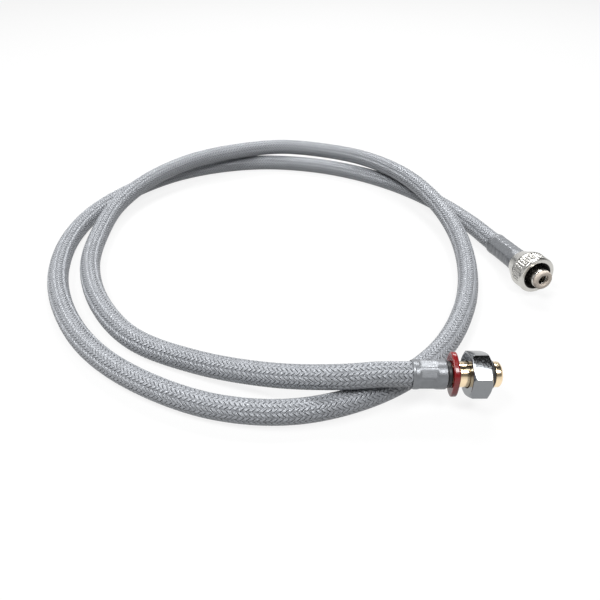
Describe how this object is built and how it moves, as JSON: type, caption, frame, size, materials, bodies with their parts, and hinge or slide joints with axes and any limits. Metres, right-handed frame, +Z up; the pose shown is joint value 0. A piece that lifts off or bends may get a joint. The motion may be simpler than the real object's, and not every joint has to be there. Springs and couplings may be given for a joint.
{
  "type": "braided flexible hose",
  "caption": "Flexible water hose with a steel wire braid, lying in two loose turns, with a round knurled union nut at one end and a hexagonal one behind a red winged ring at the other.",
  "frame": {"origin": "on the floor, under the middle of the hose's box", "axes": "+Z up, -Y towards the front of the two turns, +X towards both fittings"},
  "size_m": [0.3116, 0.3089, 0.0286],
  "materials": {
    "steel_braid": "woven stainless wire, satin",
    "hose_rubber": "matt black EPDM",
    "ferrule_steel": "crimped stainless sleeve, satin",
    "nickel_plate": "bright nickel plate",
    "bare_brass": "turned brass",
    "ivory_seal": "ivory fibre seal",
    "black_seal": "black rubber",
    "red_plastic": "red moulded plastic"
  },
  "bodies": {
    "hose": {"hose_braid": "steel_braid", "hose_liner": "hose_rubber", "ferrule_a": "ferrule_steel", "nipple_a": "nickel_plate", "seal_washer_a": "ivory_seal", "ferrule_b": "ferrule_steel", "end_ring_b": "black_seal", "stem_b": "bare_brass", "o_ring_b": "black_seal"},
    "nut_a": {"union_nut_a": "nickel_plate"},
    "nut_b": {"union_nut_b": "nickel_plate"},
    "wings": {"wing_ring_b": "red_plastic"}
  },
  "joints": [
    {"name": "nut_a_turn", "type": "hinge", "parent": "hose", "child": "nut_a", "pos_m": [0.14067, -0.03028, 0.01077], "axis": [0.241, -0.9666, 0.0872], "continuous": true},
    {"name": "nut_b_turn", "type": "hinge", "parent": "hose", "child": "nut_b", "pos_m": [0.08079, -0.136, 0.0171], "axis": [0.9993, 0.0262, -0.0262], "continuous": true},
    {"name": "wing_ring_turn", "type": "hinge", "parent": "hose", "child": "wings", "pos_m": [0.0732, -0.1362, 0.0173], "axis": [0.9993, 0.0262, -0.0262], "continuous": true}
  ]
}
